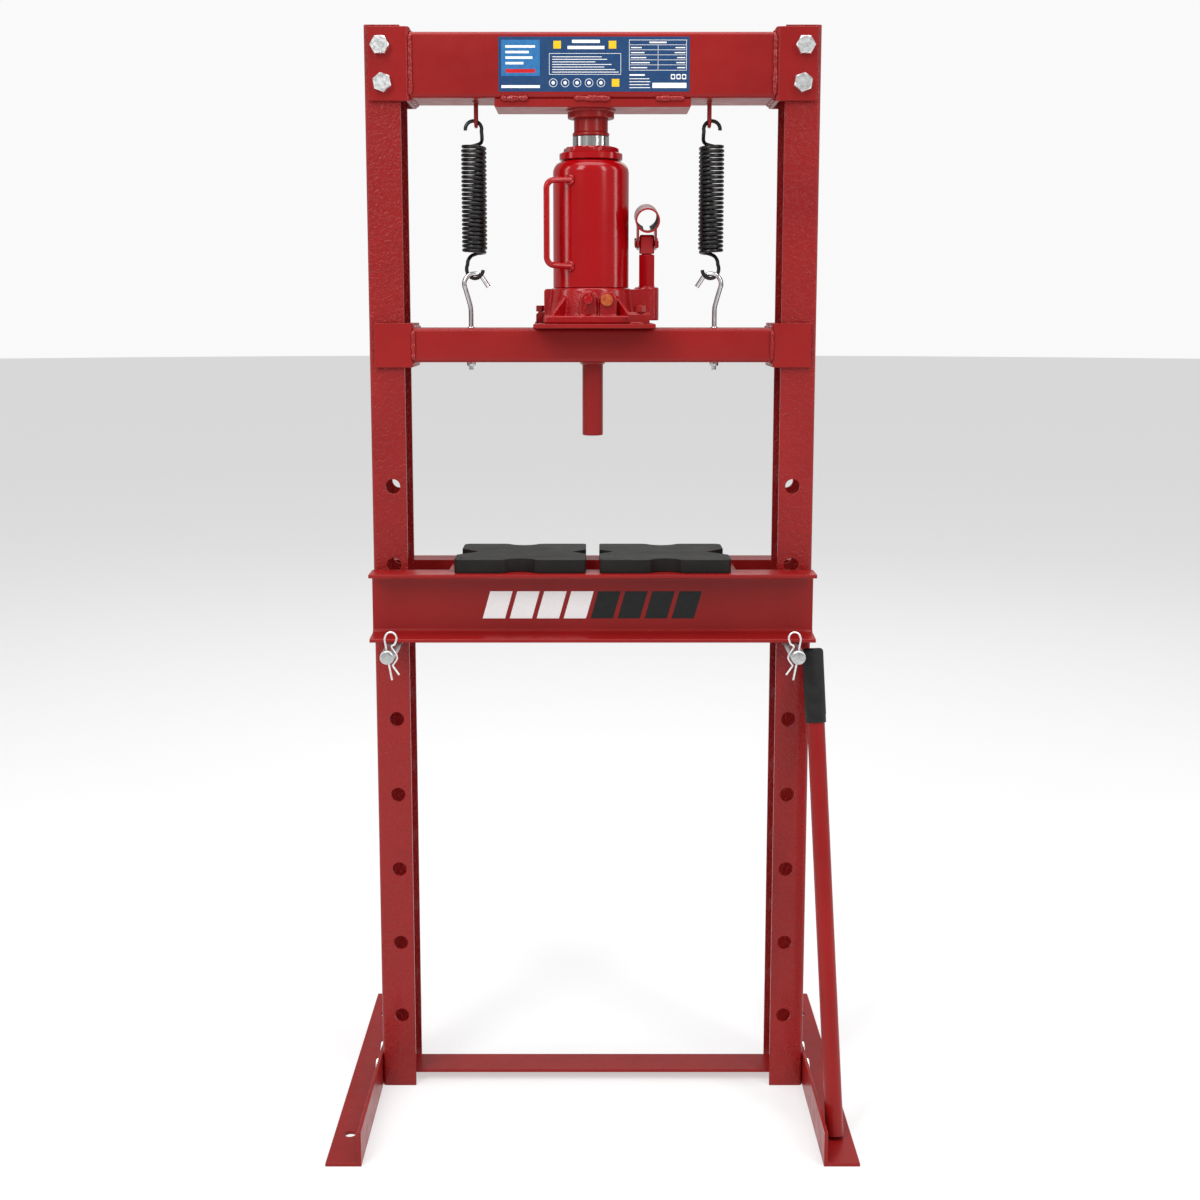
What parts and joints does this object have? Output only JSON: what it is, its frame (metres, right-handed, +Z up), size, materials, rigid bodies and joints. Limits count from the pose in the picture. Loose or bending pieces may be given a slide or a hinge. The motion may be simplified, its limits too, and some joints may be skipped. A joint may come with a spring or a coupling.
{
  "type": "hydraulic shop press",
  "caption": "Floor-standing H-frame press: a bottle jack drives a sliding crosshead and punch down onto arbor plates on a pinned bed, and springs pull it back up.",
  "frame": {"origin": "on the floor, midway between the posts", "axes": "+X the operator's right, +Y away from the operator, +Z up; the front is -Y"},
  "size_m": [0.5906, 0.45, 1.25],
  "materials": {
    "frame_paint": "semi-gloss dark red enamel",
    "jack_paint": "gloss bright red enamel",
    "zinc_plate": "zinc plated",
    "bright_chrome": "bright plated",
    "machined_steel": "machined and oiled",
    "spring_black": "black oxide spring wire",
    "plate_black": "satin black",
    "brass_plug": "copper-coloured plating",
    "grip_rubber": "dull black rubber"
  },
  "bodies": {
    "frame": {"left_post": "frame_paint", "right_post": "frame_paint", "left_foot": "frame_paint", "right_foot": "frame_paint", "lower_crossbar": "frame_paint", "top_beam": "frame_paint", "left_top_collar": "frame_paint", "right_top_collar": "frame_paint", "left_upper_top_bolt": "zinc_plate", "right_upper_top_bolt": "zinc_plate", "left_lower_top_bolt": "zinc_plate", "right_lower_top_bolt": "zinc_plate", "left_front_foot_bolt": "zinc_plate", "right_front_foot_bolt": "zinc_plate", "left_rear_foot_bolt": "zinc_plate", "right_rear_foot_bolt": "zinc_plate", "ram_pad_plate": "frame_paint", "ram_cup": "frame_paint", "left_spring_eye": "frame_paint", "right_spring_eye": "frame_paint", "left_return_spring": "spring_black", "right_return_spring": "spring_black"},
    "crosshead": {"crosshead_beam": "frame_paint", "left_slide_collar": "frame_paint", "right_slide_collar": "frame_paint", "left_spring_hook": "bright_chrome", "right_spring_hook": "bright_chrome", "jack_seat_plate": "frame_paint", "press_punch": "frame_paint", "left_jack_clamp": "frame_paint", "right_jack_clamp": "frame_paint", "left_clamp_bolt": "frame_paint", "right_clamp_bolt": "frame_paint", "jack_base": "jack_paint", "jack_tank": "jack_paint", "jack_cylinder": "machined_steel", "tank_nut": "jack_paint", "carry_handle": "jack_paint", "valve_plug": "brass_plug", "pump_barrel": "jack_paint"},
    "ram": {"jack_ram": "bright_chrome", "ram_head": "jack_paint"},
    "valve": {"release_valve": "jack_paint"},
    "plunger": {"pump_plunger": "jack_paint"},
    "lever": {"handle_socket": "jack_paint", "lever_pin": "jack_paint"},
    "link": {"pump_link": "jack_paint", "link_pin": "jack_paint"},
    "bed": {"front_bed_channel": "frame_paint", "rear_bed_channel": "frame_paint", "left_bed_spacer": "frame_paint", "right_bed_spacer": "frame_paint"},
    "left_plate": {"left_arbor_plate": "plate_black"},
    "right_plate": {"right_arbor_plate": "plate_black"},
    "left_pin": {"left_bed_pin": "zinc_plate"},
    "right_pin": {"right_bed_pin": "zinc_plate"},
    "left_clip": {"left_r_clip": "zinc_plate"},
    "right_clip": {"right_r_clip": "zinc_plate"},
    "handle": {"pump_handle_bar": "frame_paint", "pump_handle_grip": "grip_rubber"}
  },
  "joints": [
    {"name": "crosshead_slide", "type": "slide", "parent": "frame", "child": "crosshead", "axis": [0, 0, -1], "range_m": [0, 0.134], "stiffness_N_per_m": 3000, "springref_m": -0.075, "deforming": ["left_return_spring", "right_return_spring"]},
    {"name": "ram_extend", "type": "slide", "parent": "crosshead", "child": "ram", "axis": [0, 0, 1], "range_m": [0, 0.134]},
    {"name": "release_valve_turn", "type": "hinge", "parent": "crosshead", "child": "valve", "pos_m": [-0.005, -0.052, 0.947], "axis": [0, -1, 0], "range_deg": [0, 270]},
    {"name": "plunger_slide", "type": "slide", "parent": "crosshead", "child": "plunger", "axis": [0, 0, 1], "range_m": [0, 0.0148]},
    {"name": "lever_turn", "type": "hinge", "parent": "plunger", "child": "lever", "pos_m": [0.0623, 0, 1.011], "axis": [1, 0, 0], "range_deg": [-40, 0]},
    {"name": "link_swing", "type": "hinge", "parent": "crosshead", "child": "link", "pos_m": [0.0623, 0.022, 0.953], "axis": [1, 0, 0], "range_deg": [0, 4]},
    {"name": "bed_lift", "type": "slide", "parent": "frame", "child": "bed", "axis": [0, 0, -1], "range_m": [-0.092, 0]},
    {"name": "left_plate_slide", "type": "slide", "parent": "bed", "child": "left_plate", "axis": [-1, 0, 0], "range_m": [-0.007, 0.05]},
    {"name": "right_plate_slide", "type": "slide", "parent": "bed", "child": "right_plate", "axis": [1, 0, 0], "range_m": [-0.007, 0.05]},
    {"name": "left_pin_slide", "type": "slide", "parent": "frame", "child": "left_pin", "axis": [0, -1, 0], "range_m": [0, 0.19]},
    {"name": "right_pin_slide", "type": "slide", "parent": "frame", "child": "right_pin", "axis": [0, -1, 0], "range_m": [0, 0.19]},
    {"name": "left_clip_slide", "type": "slide", "parent": "left_pin", "child": "left_clip", "axis": [-0.1644, 0, 0.9864], "range_m": [0, 0.05], "deforming": ["left_r_clip"]},
    {"name": "right_clip_slide", "type": "slide", "parent": "right_pin", "child": "right_clip", "axis": [0.1644, 0, 0.9864], "range_m": [0, 0.05], "deforming": ["right_r_clip"]},
    {"name": "handle_lift", "type": "slide", "parent": "frame", "child": "handle", "axis": [0.303, -0.8081, 0.5051], "range_m": [0, 0.25]}
  ],
  "couplings": [
    {"joint": "ram_extend", "follows": "crosshead_slide", "ratio": 1},
    {"joint": "plunger_slide", "follows": "lever_turn", "m_per_rad": -0.0208},
    {"joint": "link_swing", "follows": "lever_turn", "ratio": -0.075}
  ]
}
